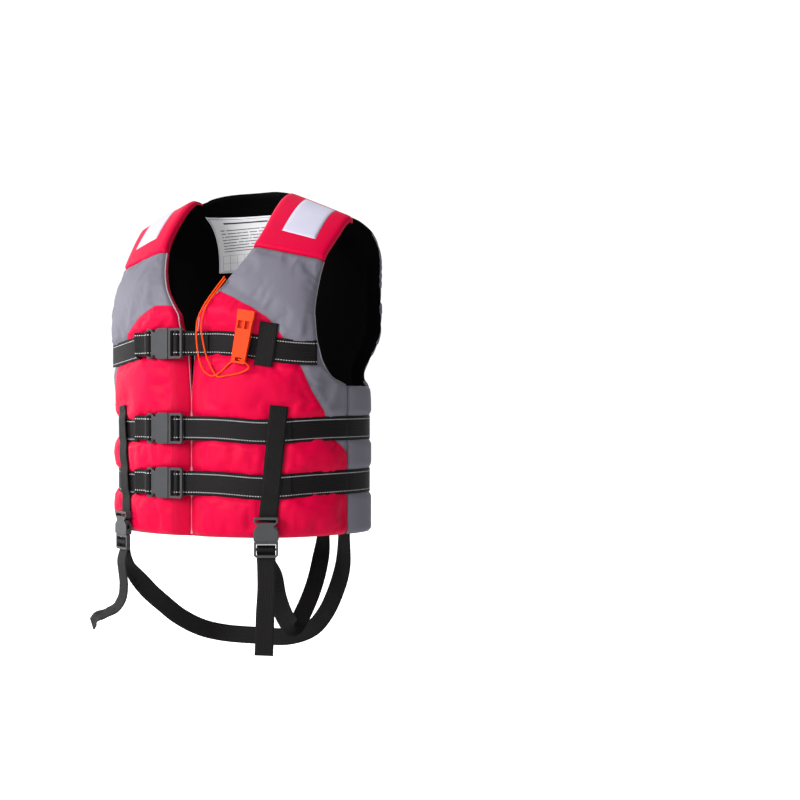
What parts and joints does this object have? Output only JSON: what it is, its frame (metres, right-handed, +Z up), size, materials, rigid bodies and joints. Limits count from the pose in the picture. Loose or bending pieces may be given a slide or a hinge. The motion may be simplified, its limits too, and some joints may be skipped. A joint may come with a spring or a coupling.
{
  "type": "life jacket",
  "caption": "Foam-filled life jacket with a front opening, three buckled belts, two crotch straps, reflective shoulder patches and a whistle on a cord.",
  "frame": {"origin": "on the middle of the body, at the underside of the shoulders, where the jacket rests on its wearer", "axes": "+Z up, -Y forward out of the chest, +X to the wearer's left"},
  "size_m": [0.4316, 0.2896, 0.7436],
  "materials": {
    "red_fabric": "woven nylon",
    "grey_fabric": "woven nylon",
    "black_lining": "matt mesh",
    "foam": "closed-cell foam",
    "reflective_tape": "retro-reflective",
    "label": "printed label",
    "buckle_plastic": "moulded",
    "whistle_plastic": "moulded",
    "cord": "thin round cord",
    "webbing": "ribbed webbing"
  },
  "bodies": {
    "back": {"back_cover": "red_fabric", "back_foam": "foam", "back_lining": "black_lining", "care_label": "label", "waist_upper_belt_back": "webbing", "waist_lower_belt_back": "webbing", "back_loop_left": "webbing", "back_loop_right": "webbing", "side_panel_left": "grey_fabric", "side_panel_right": "grey_fabric", "shoulder_pad_left": "red_fabric", "shoulder_pad_right": "red_fabric", "reflective_patch_left": "reflective_tape", "reflective_patch_right": "reflective_tape", "crotch_strap_left": "webbing", "crotch_strap_right": "webbing"},
    "front_left": {"front_left_cover": "red_fabric", "front_left_foam": "foam", "front_left_lining": "black_lining", "chest_belt_left": "webbing", "waist_upper_belt_left": "webbing", "waist_lower_belt_left": "webbing", "front_strap_left": "webbing", "chest_loop_left": "webbing", "whistle": "whistle_plastic", "whistle_cord": "cord", "crotch_left_buckle_female": "buckle_plastic"},
    "front_right": {"front_right_cover": "red_fabric", "front_right_foam": "foam", "front_right_lining": "black_lining", "chest_belt_right": "webbing", "waist_upper_belt_right": "webbing", "waist_lower_belt_right": "webbing", "front_strap_right": "webbing", "chest_buckle_female": "buckle_plastic", "waist_upper_buckle_female": "buckle_plastic", "waist_lower_buckle_female": "buckle_plastic", "crotch_right_buckle_female": "buckle_plastic"},
    "chest_male": {"chest_buckle_male": "buckle_plastic", "chest_belt_tail": "webbing"},
    "chest_prong_upper": {"chest_prong_upper": "buckle_plastic"},
    "chest_prong_lower": {"chest_prong_lower": "buckle_plastic"},
    "waist_upper_male": {"waist_upper_buckle_male": "buckle_plastic", "waist_upper_belt_tail": "webbing"},
    "waist_upper_prong_upper": {"waist_upper_prong_upper": "buckle_plastic"},
    "waist_upper_prong_lower": {"waist_upper_prong_lower": "buckle_plastic"},
    "waist_lower_male": {"waist_lower_buckle_male": "buckle_plastic", "waist_lower_belt_tail": "webbing"},
    "waist_lower_prong_upper": {"waist_lower_prong_upper": "buckle_plastic"},
    "waist_lower_prong_lower": {"waist_lower_prong_lower": "buckle_plastic"},
    "crotch_left_male": {"crotch_left_buckle_male": "buckle_plastic", "crotch_tail_left": "webbing"},
    "crotch_left_prong_upper": {"crotch_left_prong_upper": "buckle_plastic"},
    "crotch_left_prong_lower": {"crotch_left_prong_lower": "buckle_plastic"},
    "crotch_right_male": {"crotch_right_buckle_male": "buckle_plastic", "crotch_tail_right": "webbing"},
    "crotch_right_prong_upper": {"crotch_right_prong_upper": "buckle_plastic"},
    "crotch_right_prong_lower": {"crotch_right_prong_lower": "buckle_plastic"}
  },
  "joints": [
    {"name": "front_left_open", "type": "hinge", "parent": "back", "child": "front_left", "pos_m": [0.212, 0.03, -0.5013], "axis": [-0.1195, -0.0578, 0.9911], "range_deg": [0, 55], "deforming": ["side_panel_left", "shoulder_pad_left", "reflective_patch_left", "waist_upper_belt_back", "waist_lower_belt_back", "crotch_strap_left"]},
    {"name": "front_right_open", "type": "hinge", "parent": "back", "child": "front_right", "pos_m": [-0.212, 0.03, -0.5013], "axis": [-0.1195, 0.0578, -0.9911], "range_deg": [0, 55], "deforming": ["side_panel_right", "shoulder_pad_right", "reflective_patch_right", "crotch_strap_right"]},
    {"name": "chest_release", "type": "slide", "parent": "front_left", "child": "chest_male", "axis": [0.9977, -0.068, 0], "range_m": [0, 0.028], "deforming": ["chest_belt_tail", "whistle_cord"]},
    {"name": "chest_upper_squeeze", "type": "hinge", "parent": "chest_male", "child": "chest_prong_upper", "pos_m": [-0.02705, -0.16935, -0.1951], "axis": [-0.068, -0.9977, 0], "range_deg": [0, 16]},
    {"name": "chest_lower_squeeze", "type": "hinge", "parent": "chest_male", "child": "chest_prong_lower", "pos_m": [-0.02705, -0.16935, -0.2215], "axis": [0.068, 0.9977, 0], "range_deg": [0, 16]},
    {"name": "waist_upper_release", "type": "slide", "parent": "front_left", "child": "waist_upper_male", "axis": [0.9977, -0.068, 0], "range_m": [0, 0.028], "deforming": ["waist_upper_belt_tail"]},
    {"name": "waist_upper_upper_squeeze", "type": "hinge", "parent": "waist_upper_male", "child": "waist_upper_prong_upper", "pos_m": [-0.027, -0.16855, -0.3241], "axis": [-0.068, -0.9977, 0], "range_deg": [0, 16]},
    {"name": "waist_upper_lower_squeeze", "type": "hinge", "parent": "waist_upper_male", "child": "waist_upper_prong_lower", "pos_m": [-0.027, -0.16855, -0.3505], "axis": [0.068, 0.9977, 0], "range_deg": [0, 16]},
    {"name": "waist_lower_release", "type": "slide", "parent": "front_left", "child": "waist_lower_male", "axis": [0.9977, -0.068, 0], "range_m": [0, 0.028], "deforming": ["waist_lower_belt_tail"]},
    {"name": "waist_lower_upper_squeeze", "type": "hinge", "parent": "waist_lower_male", "child": "waist_lower_prong_upper", "pos_m": [-0.027, -0.16855, -0.4071], "axis": [-0.068, -0.9977, 0], "range_deg": [0, 16]},
    {"name": "waist_lower_lower_squeeze", "type": "hinge", "parent": "waist_lower_male", "child": "waist_lower_prong_lower", "pos_m": [-0.027, -0.16855, -0.4335], "axis": [0.068, 0.9977, 0], "range_deg": [0, 16]},
    {"name": "crotch_left_release", "type": "slide", "parent": "front_left", "child": "crotch_left_male", "axis": [0, 0, -1], "range_m": [0, 0.024], "deforming": ["crotch_strap_left"]},
    {"name": "crotch_left_upper_squeeze", "type": "hinge", "parent": "crotch_left_male", "child": "crotch_left_prong_upper", "pos_m": [0.12323, -0.14762, -0.5028], "axis": [-0.4374, 0.8992, 0], "range_deg": [0, 14]},
    {"name": "crotch_left_lower_squeeze", "type": "hinge", "parent": "crotch_left_male", "child": "crotch_left_prong_lower", "pos_m": [0.13797, -0.14045, -0.5028], "axis": [0.4374, -0.8992, 0], "range_deg": [0, 14]},
    {"name": "crotch_right_release", "type": "slide", "parent": "front_right", "child": "crotch_right_male", "axis": [0, 0, -1], "range_m": [0, 0.024], "deforming": ["crotch_strap_right"]},
    {"name": "crotch_right_upper_squeeze", "type": "hinge", "parent": "crotch_right_male", "child": "crotch_right_prong_upper", "pos_m": [-0.13797, -0.14045, -0.5028], "axis": [0.4374, 0.8992, 0], "range_deg": [0, 14]},
    {"name": "crotch_right_lower_squeeze", "type": "hinge", "parent": "crotch_right_male", "child": "crotch_right_prong_lower", "pos_m": [-0.12323, -0.14762, -0.5028], "axis": [-0.4374, -0.8992, 0], "range_deg": [0, 14]}
  ],
  "couplings": [
    {"joint": "front_right_open", "follows": "front_left_open", "ratio": 1},
    {"joint": "chest_upper_squeeze", "follows": "chest_release", "rad_per_m": 9.4},
    {"joint": "chest_lower_squeeze", "follows": "chest_release", "rad_per_m": 9.4},
    {"joint": "waist_upper_upper_squeeze", "follows": "waist_upper_release", "rad_per_m": 9.4},
    {"joint": "waist_upper_lower_squeeze", "follows": "waist_upper_release", "rad_per_m": 9.4},
    {"joint": "waist_lower_upper_squeeze", "follows": "waist_lower_release", "rad_per_m": 9.4},
    {"joint": "waist_lower_lower_squeeze", "follows": "waist_lower_release", "rad_per_m": 9.4},
    {"joint": "crotch_left_upper_squeeze", "follows": "crotch_left_release", "rad_per_m": 9.4},
    {"joint": "crotch_left_lower_squeeze", "follows": "crotch_left_release", "rad_per_m": 9.4},
    {"joint": "crotch_right_upper_squeeze", "follows": "crotch_right_release", "rad_per_m": 9.4},
    {"joint": "crotch_right_lower_squeeze", "follows": "crotch_right_release", "rad_per_m": 9.4}
  ]
}
